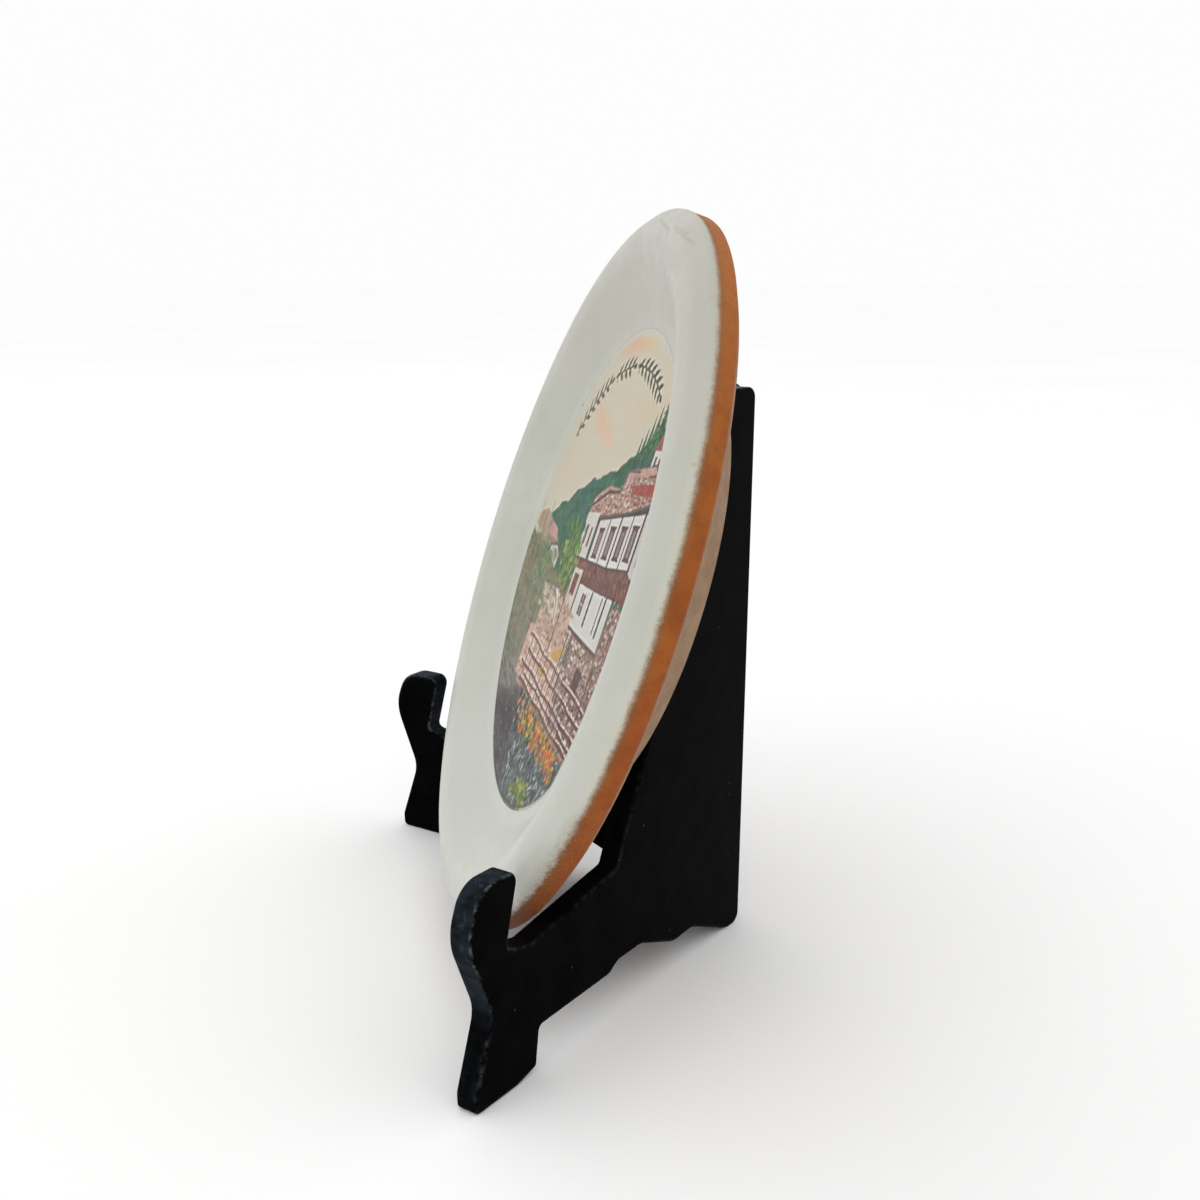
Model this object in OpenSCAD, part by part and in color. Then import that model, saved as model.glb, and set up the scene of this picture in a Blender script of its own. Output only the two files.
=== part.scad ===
// Souvenir plate on a folding two-wing easel.
// The plate is a thick moulded clay dish with a round fired picture in its
// well. It leans back on the sloping edges of two flat wooden wings and its
// rim sits in a notch behind a hook at the front of each wing. The wings are
// joined along their back edges by two small butt hinges.
// Millimetres. +Z up, the plate faces -Y, origin on the floor at the middle
// of the overall box.

/* [Plate] */
// Outer diameter of the plate
plate_d = 200; // [198:0.5:202]
// How far the plate leans back from upright, degrees
plate_lean = 18.2; // [18:0.1:18.6]
// Height of the middle of the plate above the floor
plate_h = 109; // [109:0.5:140]
// Height of the raised lip above the edge of the glaze
lip_h = 5.4; // [4.5:0.1:6]
// Height of the bare clay band round the rim
band_h = 5.3; // [3:0.1:5.3]
// Depth of the well floor below the edge of the glaze
well_h = 4; // [2:0.05:5]
// Radius of the foot ring
foot_r = 60.4; // [50:0.2:60.4]
// Distance of the foot ring's face behind the edge of the glaze
foot_h = 22.7; // [16:0.1:22.7]
// Diameter of the fired picture
picture_d = 137; // [80:1:137]
// Thickness of the fired picture
picture_t = 0.25; // [0.1:0.05:0.5]

/* [Easel] */
// Thickness of each wing
wing_t = 6.2; // [6:0.1:8]
// Height of each wing
wing_h = 157.5; // [150:0.5:170]
// Angle between the wings
open_angle = 88; // [86:0.5:90]
// Distance of each wing's inner face from the hinge plane when folded
fold_gap = 0.2; // [0.15:0.05:0.4]

/* [Hinges] */
// Length of each hinge
hinge_len = 18; // [14:1:24]
// Outer radius of the hinge knuckles
knuckle_r = 1.25; // [1:0.05:1.3]
// Radius of the hinge pins
pin_r = 0.6; // [0.5:0.05:0.7]
// Running clearance round the hinge pins
pin_gap = 0.05; // [0.02:0.01:0.09]
// Thickness of the hinge leaves
leaf_t = 0.6; // [0.4:0.05:0.8]
// Height of the middle of the lower hinge
lower_hinge_z = 30; // [20:1:50]
// Height of the middle of the upper hinge
upper_hinge_z = 128; // [100:1:135]

/* [Hidden] */

// Hinge axis, and the plate's middle, in plan
hinge_y = 43.2;
plate_y = -6.2;
// Distance of the wings' back edges in front of the hinge axis
back_off = 1.4;
// Number of knuckles on each hinge, and the slit between two of them
knuckles = 5;
slit = 0.12;
pitch = hinge_len / knuckles;
// Screws
screw_r = 0.45;
screw_len = 5;
head_r = 0.95;
screw_s = 3.4;
screw_zs = [-5.6, 5.6];

// ---- rounded outlines -------------------------------------------------
// Each point is [x, y, radius]: the corner at x, y is rounded to that radius.
function unit(v) = v / norm(v);
function corner(a, b, c) =
    let (p = [b[0], b[1]],
         ea = [a[0], a[1]] - p, ec = [c[0], c[1]] - p,
         ua = unit(ea), uc = unit(ec),
         half = acos(ua * uc) / 2,
         reach = min(b[2] / tan(half), 0.49 * norm(ea), 0.49 * norm(ec)),
         r = reach * tan(half),
         mid = p + unit(ua + uc) * (r / sin(half)),
         s = p + ua * reach - mid, e = p + uc * reach - mid,
         a0 = atan2(s[1], s[0]),
         turn = (atan2(e[1], e[0]) - a0 + 540) % 360 - 180,
         n = max(1, ceil(abs(turn) / 9)))
    [for (k = [0 : n]) mid + r * [cos(a0 + turn * k / n), sin(a0 + turn * k / n)]];
function rounded(pts) =
    let (n = len(pts))
    [for (i = [0 : n - 1]) each (pts[i][2] == 0
        ? [[pts[i][0], pts[i][1]]]
        : corner(pts[(i + n - 1) % n], pts[i], pts[(i + 1) % n]))];

// Side outline of a wing: distance in front of the back edge, height
wing_outline = [
    [0, 0, 4.5], [6.8, 0, 9], [26.8, 8.5, 8], [36.8, 8.1, 10],
    [53.5, 14.4, 9], [64.5, 14.3, 5], [68.6, 12.1, 5], [98.4, 11.6, 1.5],
    [99.6, 1.6, 1.2], [107, 0, 8], [122.5, 0, 1.6], [122.7, 4.2, 3],
    [116.4, 22.8, 9], [125.2, 43.3, 13], [120.5, 55.3, 8], [106.3, 55.2, 2.8],
    [110.9, 36.9, 1.6], [101.5, 34.6, 2.5], [65.5, 40.4, 1.2],
    [12, wing_h, 3.2], [0, wing_h, 3.2]];

// Section of the plate: radius, height in front of the edge of the glaze
rim = plate_d / 2;
plate_section = [
    [0, -well_h, 0], [71.5, -well_h, 9], [86.5, lip_h - 1, 9], [91, lip_h, 8],
    [95.6, lip_h - 0.9, 6], [rim - 0.2, 1.2, 3], [rim, -0.4, 0.4],
    [rim, -band_h, 0.6], [rim - 3.5, -band_h - 1.9, 5], [84, -10.6, 20], [68, -15.2, 14],
    [foot_r, -foot_h, 0.5], [foot_r - 6, -foot_h, 1.2], [foot_r - 7.5, -12.6, 2.5], [40, -11.6, 20],
    [0, -11.6, 0]];

// ---- placing ----------------------------------------------------------
module on_plate() {
    translate([0, plate_y, plate_h]) rotate([90 - plate_lean, 0, 0]) children();
}

// A wing's own frame when folded shut: +X across its thickness, -Y along it
module on_wing(side) {
    translate([0, hinge_y, 0])
        mirror([side < 0 ? 1 : 0, 0, 0]) rotate([0, 0, open_angle / 2]) children();
}

// ---- plate ------------------------------------------------------------
module plate_body() {
    color([0.86, 0.85, 0.80])
        on_plate() rotate_extrude($fn = 180) polygon(rounded(plate_section));
}

module picture_disc() {
    color([0.55, 0.58, 0.45])
        on_plate() translate([0, 0, -well_h]) cylinder(d = picture_d, h = picture_t, $fn = 180);
}

// ---- wings ------------------------------------------------------------
module screw_holes(zc) {
    for (dz = screw_zs)
        translate([fold_gap + screw_s, -back_off + 0.01, zc + dz])
            rotate([90, 0, 0]) cylinder(r = screw_r, h = screw_len + 0.11, $fn = 24);
}

module wing(side) {
    color([0.04, 0.04, 0.045])
        on_wing(side) difference() {
            translate([fold_gap + wing_t, -back_off, 0])
                rotate([90, 0, -90])
                    linear_extrude(height = wing_t) polygon(rounded(wing_outline));
            screw_holes(lower_hinge_z);
            screw_holes(upper_hinge_z);
        }
}
module right_wing() { wing(1); }
module left_wing() { wing(-1); }

// ---- hinges -----------------------------------------------------------
// Leaf of a hinge: odd is 0 for the leaf that carries the end knuckles,
// 1 for the leaf that carries the knuckles between them.
module leaf(side, zc, odd) {
    own = [for (k = [0 : knuckles - 1]) if (k % 2 == odd) k];
    other = [for (k = [0 : knuckles - 1]) if (k % 2 != odd) k];
    z0 = zc - hinge_len / 2;
    color([0.72, 0.56, 0.24])
        on_wing(side) difference() {
            union() {
                translate([fold_gap, -back_off, z0]) cube([5.5, leaf_t, hinge_len]);
                for (k = own)
                    translate([0, 0, z0 + k * pitch + slit / 2])
                        cylinder(r = knuckle_r, h = pitch - slit, $fn = 36);
            }
            for (k = other)
                translate([0, 0, z0 + k * pitch - slit / 2])
                    translate([-2, -2, 0]) cube([knuckle_r + 0.2 + 2, 4, pitch + slit]);
            translate([0, 0, z0 - 1]) cylinder(r = pin_r + pin_gap, h = hinge_len + 2, $fn = 36);
            for (dz = screw_zs)
                translate([fold_gap + screw_s, -back_off, zc + dz]) rotate([-90, 0, 0]) {
                    translate([0, 0, -0.5]) cylinder(r = screw_r, h = 2, $fn = 24);
                    translate([0, 0, leaf_t - 0.4]) cylinder(r1 = screw_r, r2 = head_r, h = 0.4, $fn = 24);
                }
        }
}
module upper_right_leaf() { leaf(1, upper_hinge_z, 0); }
module upper_left_leaf() { leaf(-1, upper_hinge_z, 1); }
module lower_right_leaf() { leaf(1, lower_hinge_z, 0); }
module lower_left_leaf() { leaf(-1, lower_hinge_z, 1); }

// Pin with a peened head on each end
module hinge_pin(zc) {
    color([0.78, 0.62, 0.28])
        translate([0, hinge_y, zc - hinge_len / 2]) {
            translate([0, 0, slit / 2 - 0.3]) cylinder(r = 1.0, h = 0.3, $fn = 36);
            translate([0, 0, slit / 2]) cylinder(r = pin_r, h = hinge_len - slit, $fn = 36);
            translate([0, 0, hinge_len - slit / 2]) cylinder(r = 1.0, h = 0.3, $fn = 36);
        }
}
module upper_hinge_pin() { hinge_pin(upper_hinge_z); }
module lower_hinge_pin() { hinge_pin(lower_hinge_z); }

// Countersunk slotted wood screw, its head's face at z = 0, pointing down
module screw() {
    difference() {
        union() {
            translate([0, 0, -0.4]) cylinder(r1 = screw_r, r2 = head_r, h = 0.4, $fn = 24);
            translate([0, 0, -0.4 - 0.2 - screw_len]) cylinder(r = screw_r, h = screw_len + 0.2, $fn = 24);
        }
        translate([-1.2, -0.14, -0.2]) cube([2.4, 0.28, 0.5]);
    }
}
module leaf_screws(side) {
    color([0.70, 0.55, 0.25])
        on_wing(side)
            for (zc = [lower_hinge_z, upper_hinge_z]) for (dz = screw_zs)
                translate([fold_gap + screw_s, -back_off + leaf_t, zc + dz])
                    rotate([-90, 0, 0]) rotate([0, 0, 30 + 7 * dz]) screw();
}
module right_leaf_screws() { leaf_screws(1); }
module left_leaf_screws() { leaf_screws(-1); }

plate_body();
picture_disc();
right_wing();
left_wing();
upper_right_leaf();
upper_left_leaf();
lower_right_leaf();
lower_left_leaf();
upper_hinge_pin();
lower_hinge_pin();
right_leaf_screws();
left_leaf_screws();
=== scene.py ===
import math

import bpy
import numpy as np
from mathutils import Matrix, Vector


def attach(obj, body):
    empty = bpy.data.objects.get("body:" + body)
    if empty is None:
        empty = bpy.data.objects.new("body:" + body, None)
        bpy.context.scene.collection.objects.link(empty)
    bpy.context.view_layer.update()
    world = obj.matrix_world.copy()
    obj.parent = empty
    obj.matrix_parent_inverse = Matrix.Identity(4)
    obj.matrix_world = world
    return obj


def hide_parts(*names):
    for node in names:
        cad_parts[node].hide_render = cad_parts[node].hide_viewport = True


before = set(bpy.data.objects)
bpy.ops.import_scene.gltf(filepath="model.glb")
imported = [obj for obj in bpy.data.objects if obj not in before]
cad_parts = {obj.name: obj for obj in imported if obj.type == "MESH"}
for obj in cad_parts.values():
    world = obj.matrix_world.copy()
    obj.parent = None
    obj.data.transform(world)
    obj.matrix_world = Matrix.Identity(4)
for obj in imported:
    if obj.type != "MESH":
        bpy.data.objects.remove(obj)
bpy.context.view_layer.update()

MM = 0.001

# ---- sizes of the CAD model, millimetres ------------------------------
rim, lean, plate_y, plate_h = 100.0, 18.2, -6.2, 109.0
well_h, lip_h, band_h, foot_r, foot_h = 4.0, 5.4, 5.3, 60.4, 22.7
picture_r, picture_t = 68.5, 0.25
wing_t, wing_h, open_angle, fold_gap = 6.2, 157.5, 88.0, 0.2
hinge_y, back_off = 43.2, 1.4
wing_outline = [
    [0, 0, 4.5], [6.8, 0, 9], [26.8, 8.5, 8], [36.8, 8.1, 10],
    [53.5, 14.4, 9], [64.5, 14.3, 5], [68.6, 12.1, 5], [98.4, 11.6, 1.5],
    [99.6, 1.6, 1.2], [107, 0, 8], [122.5, 0, 1.6], [122.7, 4.2, 3],
    [116.4, 22.8, 9], [125.2, 43.3, 13], [120.5, 55.3, 8], [106.3, 55.2, 2.8],
    [110.9, 36.9, 1.6], [101.5, 34.6, 2.5], [65.5, 40.4, 1.2],
    [12, wing_h, 3.2], [0, wing_h, 3.2]]
plate_section = [
    [0, -well_h, 0], [71.5, -well_h, 9], [86.5, lip_h - 1, 9], [91, lip_h, 8],
    [95.6, lip_h - 0.9, 6], [rim - 0.2, 1.2, 3], [rim, -0.4, 0.4],
    [rim, -band_h, 0.6], [rim - 3.5, -band_h - 1.9, 5], [84, -10.6, 20], [68, -15.2, 14],
    [foot_r, -foot_h, 0.5], [foot_r - 6, -foot_h, 1.2], [foot_r - 7.5, -12.6, 2.5], [40, -11.6, 20],
    [0, -11.6, 0]]


def rounded(points, step):
    """Outline with each corner rounded to its own radius, as in the CAD model."""
    out, n = [], len(points)
    for i, b in enumerate(points):
        if b[2] == 0:
            out.append((b[0], b[1]))
            continue
        a, c = points[i - 1], points[(i + 1) % n]
        p = np.array(b[:2], float)
        ea, ec = np.array(a[:2], float) - p, np.array(c[:2], float) - p
        la, lc = np.linalg.norm(ea), np.linalg.norm(ec)
        ua, uc = ea / la, ec / lc
        half = math.acos(max(-1.0, min(1.0, float(ua @ uc)))) / 2
        reach = min(b[2] / math.tan(half), 0.49 * la, 0.49 * lc)
        r = reach * math.tan(half)
        w = (ua + uc) / np.linalg.norm(ua + uc)
        mid = p + w * r / math.sin(half)
        s, e = p + ua * reach - mid, p + uc * reach - mid
        a0 = math.atan2(s[1], s[0])
        turn = (math.atan2(e[1], e[0]) - a0 + 3 * math.pi) % (2 * math.pi) - math.pi
        k = max(1, math.ceil(abs(math.degrees(turn)) / step))
        out += [(mid[0] + r * math.cos(a0 + turn * j / k), mid[1] + r * math.sin(a0 + turn * j / k)) for j in range(k + 1)]
    return out


def split_long(points, longest, closed=False):
    """The same line with no stretch longer than the given length."""
    out = []
    pairs = list(zip(points, points[1:] + (points[:1] if closed else [])))
    for (x0, y0), (x1, y1) in pairs:
        k = max(1, math.ceil(math.hypot(x1 - x0, y1 - y0) / longest))
        out += [(x0 + (x1 - x0) * j / k, y0 + (y1 - y0) * j / k) for j in range(k)]
    if not closed:
        out.append(points[-1])
    return out


def lattice_noise(x, y, size, seed):
    """Smooth noise from 0 to 1 with features of the given size."""
    rng = np.random.default_rng(seed)
    grid = rng.random((256, 256))
    gx, gy = np.asarray(x) / size + 500.3, np.asarray(y) / size + 700.7
    ix, iy = np.floor(gx).astype(int), np.floor(gy).astype(int)
    fx, fy = gx - ix, gy - iy
    fx, fy = fx * fx * (3 - 2 * fx), fy * fy * (3 - 2 * fy)
    a, b = grid[ix % 256, iy % 256], grid[(ix + 1) % 256, iy % 256]
    c, d = grid[ix % 256, (iy + 1) % 256], grid[(ix + 1) % 256, (iy + 1) % 256]
    return (a * (1 - fx) + b * fx) * (1 - fy) + (c * (1 - fx) + d * fx) * fy


def cloud(x, y, size, seed, octaves=3):
    """Several sizes of smooth noise added together, from 0 to 1."""
    total, weight, out = 0.0, 1.0, 0.0
    for k in range(octaves):
        out = out + weight * lattice_noise(x, y, size / 2 ** k, seed + 31 * k)
        total += weight
        weight *= 0.5
    return out / total


# ---- frames -----------------------------------------------------------
L = math.radians(lean)
PLATE = Matrix(((1, 0, 0, 0),
                (0, math.sin(L), -math.cos(L), plate_y),
                (0, math.cos(L), math.sin(L), plate_h),
                (0, 0, 0, 1)))


def to_world(matrix, co):
    """Points in millimetres of a local frame, as metres of the row frame."""
    m = np.array(matrix)
    return (co @ m[:3, :3].T + m[:3, 3]) * MM


def make_object(name, co, faces, attributes=(), smooth=True):
    """A mesh object at the origin from points in metres and lists of corners."""
    mesh = bpy.data.meshes.new(name)
    mesh.from_pydata(co.tolist(), [], faces)
    mesh.update()
    for key, kind, values in attributes:
        a = mesh.attributes.new(key, kind, "POINT")
        field = {"FLOAT": "value", "FLOAT_VECTOR": "vector", "FLOAT_COLOR": "color"}[kind]
        a.data.foreach_set(field, np.ascontiguousarray(values, np.float32).ravel())
    mesh.polygons.foreach_set("use_smooth", [smooth] * len(mesh.polygons))
    mesh.update()
    obj = bpy.data.objects.new(name, mesh)
    bpy.context.scene.collection.objects.link(obj)
    return obj


# ---- node trees -------------------------------------------------------
class Tree:
    def __init__(self, name):
        self.material = bpy.data.materials.new(name)
        self.material.use_nodes = True
        self.nt = self.material.node_tree
        self.nt.nodes.clear()
        self.out = self.nt.nodes.new("ShaderNodeOutputMaterial")
        self.shader = self.nt.nodes.new("ShaderNodeBsdfPrincipled")
        self.nt.links.new(self.shader.outputs["BSDF"], self.out.inputs["Surface"])

    def put(self, socket, value):
        if isinstance(value, bpy.types.NodeSocket):
            self.nt.links.new(value, socket)
        elif value is not None:
            if isinstance(value, (tuple, list)) and len(value) == 3 and socket.type == "RGBA":
                value = (*value, 1.0)
            socket.default_value = value

    def node(self, kind, inputs=(), **props):
        n = self.nt.nodes.new(kind)
        for k, v in props.items():
            setattr(n, k, v)
        for key, value in dict(inputs).items():
            self.put(n.inputs[key], value)
        return n

    def math(self, op, a, b=None, c=None, clamp=False):
        n = self.node("ShaderNodeMath", operation=op, use_clamp=clamp)
        for i, v in enumerate((a, b, c)):
            if v is not None:
                self.put(n.inputs[i], v)
        return n.outputs[0]

    def vmath(self, op, a, b=None, scale=None):
        n = self.node("ShaderNodeVectorMath", operation=op)
        self.put(n.inputs[0], a)
        if b is not None:
            self.put(n.inputs[1], b)
        if scale is not None:
            self.put(n.inputs["Scale"], scale)
        return n.outputs["Value"] if op in ("LENGTH", "DOT_PRODUCT", "DISTANCE") else n.outputs["Vector"]

    def ramp(self, value, lo, hi, out_lo=0.0, out_hi=1.0):
        n = self.node("ShaderNodeMapRange", interpolation_type="SMOOTHSTEP")
        for key, v in (("Value", value), ("From Min", lo), ("From Max", hi), ("To Min", out_lo), ("To Max", out_hi)):
            self.put(n.inputs[key], v)
        return n.outputs["Result"]

    def noise(self, vector, scale, detail=3.0, rough=0.5, distortion=0.0):
        n = self.node("ShaderNodeTexNoise", {"Vector": vector, "Scale": scale, "Detail": detail,
                                             "Roughness": rough, "Distortion": distortion})
        return n.outputs["Fac"]

    def noise_vector(self, vector, scale):
        n = self.node("ShaderNodeTexNoise", {"Vector": vector, "Scale": scale, "Detail": 2.0})
        return self.vmath("SUBTRACT", n.outputs["Color"], (0.5, 0.5, 0.5))

    def spots(self, vector, scale, smooth=None):
        n = self.node("ShaderNodeTexVoronoi", {"Vector": vector, "Scale": scale})
        return n.outputs["Distance"], n.outputs["Color"]

    def mix(self, fac, a, b, blend="MIX"):
        n = self.node("ShaderNodeMix", data_type="RGBA", blend_type=blend)
        self.put(n.inputs[0], fac)
        self.put(n.inputs[6], a)
        self.put(n.inputs[7], b)
        return n.outputs[2]

    def stretch(self, vector, factors):
        return self.vmath("MULTIPLY", vector, factors)

    def attribute(self, name):
        return self.node("ShaderNodeAttribute", attribute_name=name)

    def millimetres(self):
        return self.vmath("SCALE", self.node("ShaderNodeTexCoord").outputs["Object"], scale=1000.0)

    def bump(self, height, strength, distance, normal=None):
        n = self.node("ShaderNodeBump", {"Height": height, "Strength": strength, "Distance": distance})
        if normal is not None:
            self.put(n.inputs["Normal"], normal)
        return n.outputs["Normal"]

    def near_line(self, vector, a, b, half_width, soft):
        """1 within half_width of the straight line from a to b, in millimetres."""
        a, b = Vector(a), Vector(b)
        d = b - a
        rel = self.vmath("SUBTRACT", vector, tuple(a))
        t = self.math("DIVIDE", self.vmath("DOT_PRODUCT", rel, tuple(d.normalized())), d.length, clamp=True)
        foot = self.vmath("SCALE", tuple(d), scale=t)
        off = self.vmath("DISTANCE", rel, foot)
        return self.ramp(off, half_width, half_width + soft, 1.0, 0.0)


def srgb(r, g, b):
    """Linear colour of an 8-bit display colour."""
    return tuple(((c / 255 / 12.92) if c / 255 <= 0.04045 else ((c / 255 + 0.055) / 1.055) ** 2.4) for c in (r, g, b))


# ---- camera -----------------------------------------------------------
azimuth, elevation, roll = math.radians(78.26), math.radians(13.39), math.radians(0.53)
back = Vector((math.sin(azimuth) * math.cos(elevation), -math.cos(azimuth) * math.cos(elevation), math.sin(elevation)))
right = Vector((math.cos(azimuth), math.sin(azimuth), 0))
up = back.cross(right)
right, up = right * math.cos(roll) + up * math.sin(roll), up * math.cos(roll) - right * math.sin(roll)
camera_data = bpy.data.cameras.new("camera")
camera_data.sensor_width = 36.0
camera_data.lens = 42.455
camera_data.clip_start = 0.01
camera_data.clip_end = 60.0
camera = bpy.data.objects.new("camera", camera_data)
bpy.context.scene.collection.objects.link(camera)
place = Vector((0.37653, -0.07339, 0.18968))
camera.matrix_world = Matrix((
    (right.x, up.x, back.x, place.x),
    (right.y, up.y, back.y, place.y),
    (right.z, up.z, back.z, place.z),
    (0, 0, 0, 1)))
bpy.context.scene.camera = camera
bpy.context.scene.view_settings.view_transform = "Standard"


# ---- plate body -------------------------------------------------------
def build_plate():
    section = rounded(plate_section, 4.0)
    fine = []
    pairs = list(zip(section, section[1:]))
    for (r0, n0), (r1, n1) in pairs:
        on_edge = max(r0, r1) > 97.5 and max(n0, n1) > -8.5
        longest = 0.35 if on_edge else (1.5 if max(r0, r1) > 84 else 4.0)
        k = max(1, math.ceil(math.hypot(r1 - r0, n1 - n0) / longest))
        fine += [(r0 + (r1 - r0) * j / k, n0 + (n1 - n0) * j / k) for j in range(k)]
    fine = [p for p in fine if p[0] > 0.01]
    # signed distance along the section from the edge of the glaze, + on the glaze
    lengths = [0.0]
    for a, b in zip(fine, fine[1:]):
        lengths.append(lengths[-1] + math.hypot(b[0] - a[0], b[1] - a[1]))
    edge_at = next(s for s, p in zip(lengths, fine) if p[0] > 99.9 and p[1] < -0.35)
    rows, turns = len(fine), 440
    theta = np.arange(turns) * 2 * math.pi / turns
    co, local, edge = [], [], []
    for (r, n), s in zip(fine, lengths):
        e = edge_at - s
        # an uneven, hand-finished rim, always inside the true size
        rim_share = min(1.0, max(0.0, (r - 86.0) / 12.0))
        wave = cloud(np.cos(theta) * 100, np.sin(theta) * 100, 26, 5, 3)
        small = cloud(np.cos(theta) * 100, np.sin(theta) * 100, 6, 9, 2)
        shrink = rim_share * (0.20 * wave ** 2 + 0.06 * small)
        sink = min(1.0, max(0.0, (n + 5.0) / 6.0))
        face = rim_share * 0.34 * cloud(np.cos(theta) * 100, np.sin(theta) * 100, 34, 17, 2) * sink * sink * (3 - 2 * sink)
        # the clay stands a little back where the glaze ends
        border = e + 1.1 * (cloud(np.cos(theta) * 100, np.sin(theta) * 100, 3.4, 23, 2) - 0.5)
        step = 0.16 * np.clip(0.5 - border / 0.5, 0, 1) if r > 97 and n > -7.4 else np.zeros(turns)
        rr, nn = r - shrink - step, n - face
        p = np.stack([rr * np.cos(theta), rr * np.sin(theta), nn * np.ones(turns)], 1)
        co.append(p)
        edge.append(np.full(turns, e))
    co, edge = np.concatenate(co), np.concatenate(edge)
    top, bottom = len(co), len(co) + 1
    co = np.vstack([co, [[0, 0, -well_h], [0, 0, -11.6]]])
    edge = np.append(edge, [edge_at, edge_at - lengths[-1]])
    k = np.arange(turns)
    k1 = (k + 1) % turns
    faces = []
    for i in range(rows - 1):
        a, b = i * turns, (i + 1) * turns
        faces += np.stack([a + k, b + k, b + k1, a + k1], 1).tolist()
    faces += [(top, int(j), int((j + 1) % turns)) for j in range(turns)]
    last = (rows - 1) * turns
    faces += [(bottom, last + int((j + 1) % turns), last + int(j)) for j in range(turns)]
    world = to_world(PLATE, co)
    obj = make_object("plate", world, faces, [("plate_mm", "FLOAT_VECTOR", co), ("edge_mm", "FLOAT", edge)])
    return obj


def plate_material():
    t = Tree("glazed_clay")
    p = t.attribute("plate_mm").outputs["Vector"]
    edge = t.attribute("edge_mm").outputs["Fac"]
    grain = t.noise(p, 1.1, 4, 0.6)
    fleck = t.noise(p, 2.6, 3, 0.65)
    patch = t.noise(p, 0.16, 3, 0.55)
    broad = t.noise(p, 0.03, 3, 0.5)
    # the edge of the glaze wanders and breaks up, most where the rim sits in the notches
    rubbed = t.ramp(t.vmath("DISTANCE", t.stretch(p, (1.0, 1.0, 0.5)), (78.0, -61.0, 0.0)), 14.0, 34.0, 1.0, 0.0)
    border = t.math("ADD", edge, t.math("MULTIPLY_ADD", grain, 1.3, -0.65))
    border = t.math("ADD", border, t.math("MULTIPLY_ADD", patch, 1.2, -0.6))
    border = t.math("ADD", border, t.math("MULTIPLY_ADD", fleck, 0.9, -0.45))
    border = t.math("SUBTRACT", border, t.math("MULTIPLY", rubbed, t.ramp(t.noise(p, 0.5, 3, 0.6), 0.44, 0.66, 0.0, 0.6)))
    glaze = t.ramp(border, -1.0, 0.9)
    # glaze colour
    white = t.mix(t.ramp(broad, 0.3, 0.7), srgb(184, 186, 175), srgb(194, 195, 186))
    white = t.mix(t.ramp(patch, 0.35, 0.75), white, srgb(191, 191, 179))
    thin = t.ramp(border, 0.2, 3.4, 1.0, 0.0)
    white = t.mix(t.math("MULTIPLY", thin, 0.6), white, srgb(203, 200, 182))
    # olive-grey dirt and wear just inside the edge
    dirt = t.math("MULTIPLY", t.ramp(border, -0.1, 1.3, 1.0, 0.0), t.ramp(fleck, 0.40, 0.60))
    white = t.mix(t.math("MULTIPLY", dirt, 0.85), white, srgb(146, 132, 102))
    spatter = t.math("MULTIPLY", t.math("MULTIPLY", rubbed, t.ramp(edge, -0.5, 5.5, 1.0, 0.0)), t.ramp(t.noise(p, 1.3, 4, 0.75), 0.60, 0.68))
    white = t.mix(t.math("MULTIPLY", spatter, 0.75), white, srgb(122, 92, 72))
    smear = t.math("MULTIPLY", rubbed, t.ramp(t.math("ADD", edge, t.math("MULTIPLY_ADD", patch, 3.0, -1.5)), 0.0, 4.2, 0.7, 0.0))
    white = t.mix(smear, white, srgb(150, 136, 116))
    chip_noise = t.noise(p, 0.42, 2, 0.5)
    chips = t.math("MULTIPLY", t.ramp(edge, 0.4, 3.2, 1.0, 0.0), t.ramp(chip_noise, 0.69, 0.73))
    white = t.mix(t.math("MULTIPLY", chips, 0.85), white, srgb(196, 150, 116))
    # scattered dark specks in the glaze
    dist, rnd = t.spots(p, 0.085)
    picked = t.math("GREATER_THAN", t.node("ShaderNodeSeparateColor", {"Color": rnd}).outputs[0], 0.72)
    specks = t.math("MULTIPLY", t.ramp(dist, 0.022, 0.045, 1.0, 0.0), picked)
    white = t.mix(t.math("MULTIPLY", specks, 0.5), white, srgb(120, 118, 112))
    one = t.ramp(t.vmath("DISTANCE", t.stretch(p, (0.7, 1.0, 0.0)), (-39.1, 41.2, 0.0)), 0.35, 0.95, 0.7, 0.0)
    white = t.mix(one, white, srgb(120, 122, 118))
    # scratches near the top, and the warm stain beside them
    flat = t.stretch(p, (1.0, 1.0, 0.0))
    bent = t.vmath("ADD", flat, t.stretch(t.noise_vector(p, 0.16), (2.2, 1.1, 0.0)))
    for a, b, w, amount in (((2.3, 95.6, 0), (17.0, 92.2, 0), 0.22, 0.85), ((16.6, 92.4, 0), (18.8, 90.6, 0), 0.36, 0.85),
                            ((20.8, 93.0, 0), (39.3, 88.9, 0), 0.26, 0.6), ((24.0, 92.8, 0), (33.0, 91.4, 0), 0.14, 0.4),
                            ((38.0, -78.0, 0), (45.0, -75.5, 0), 0.08, 0.3)):
        line = t.math("MULTIPLY", t.near_line(bent, a, b, w, 0.5), t.ramp(grain, 0.25, 0.55, 0.35, 1.0))
        white = t.mix(t.math("MULTIPLY", line, amount), white, srgb(116, 108, 88))
    stain = t.math("MULTIPLY", t.ramp(t.vmath("DISTANCE", t.stretch(p, (0.34, 1.0, 0.0)), (-2.2, 93.6, 0.0)), 1.0, 4.6, 1.0, 0.0), t.ramp(patch, 0.25, 0.5, 0.5, 1.0))
    white = t.mix(t.math("MULTIPLY", stain, 0.6), white, srgb(188, 172, 152))
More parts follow.
